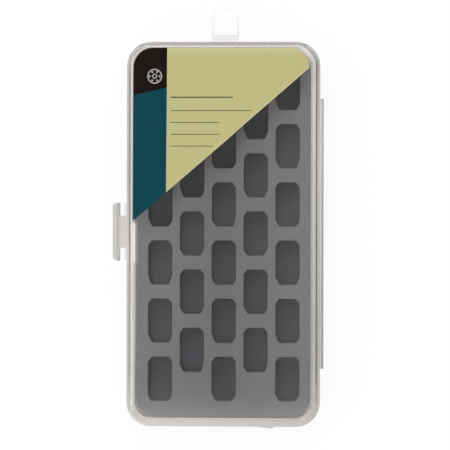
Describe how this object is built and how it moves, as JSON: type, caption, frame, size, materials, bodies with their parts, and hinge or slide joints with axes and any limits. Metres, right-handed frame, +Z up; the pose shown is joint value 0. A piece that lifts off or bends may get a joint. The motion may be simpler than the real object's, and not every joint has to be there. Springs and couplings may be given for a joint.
{
  "type": "spool storage box",
  "caption": "Clear hinged plastic box with a snap latch, a fold-out hanging loop, a foam insert with staggered pockets for spools, and a slant-cut card under the lid.",
  "frame": {"origin": "centre of the base's flat underside, halfway between the rim's two long sides and its two ends", "axes": "+Z up through the lid, +Y along the box towards the hanging loop, +X towards the hinge; the latch is on the -X side"},
  "size_m": [0.0966, 0.1907, 0.026],
  "materials": {
    "clear_plastic": "gloss",
    "latch_plastic": "satin",
    "foam": "matte",
    "foam_floor": "matte",
    "card": "satin"
  },
  "bodies": {
    "base": {"base_shell": "clear_plastic", "foam_backing": "foam_floor", "foam_grid": "foam", "lid_hinge_web": "clear_plastic", "hang_loop_web": "clear_plastic"},
    "lid": {"lid_shell": "clear_plastic", "printed_card": "card", "latch_hinge_web": "clear_plastic"},
    "latch": {"latch_plate": "latch_plastic"},
    "hang_loop": {"hang_loop": "clear_plastic"}
  },
  "joints": [
    {"name": "lid_hinge", "type": "hinge", "parent": "base", "child": "lid", "pos_m": [0.04535, 0.0002, 0.0155], "axis": [0, 1, 0], "range_deg": [0, 180], "deforming": ["lid_hinge_web"]},
    {"name": "latch_hinge", "type": "hinge", "parent": "lid", "child": "latch", "pos_m": [-0.04485, 0.00095, 0.01663], "axis": [0, 1, 0], "range_deg": [0, 110], "deforming": ["latch_hinge_web"]},
    {"name": "loop_fold", "type": "hinge", "parent": "base", "child": "hang_loop", "pos_m": [0.00083, 0.0892, 0.0147], "axis": [1, 0, 0], "range_deg": [-90, 90], "stiffness_Nm_per_rad": 0.001, "deforming": ["hang_loop_web"]}
  ]
}
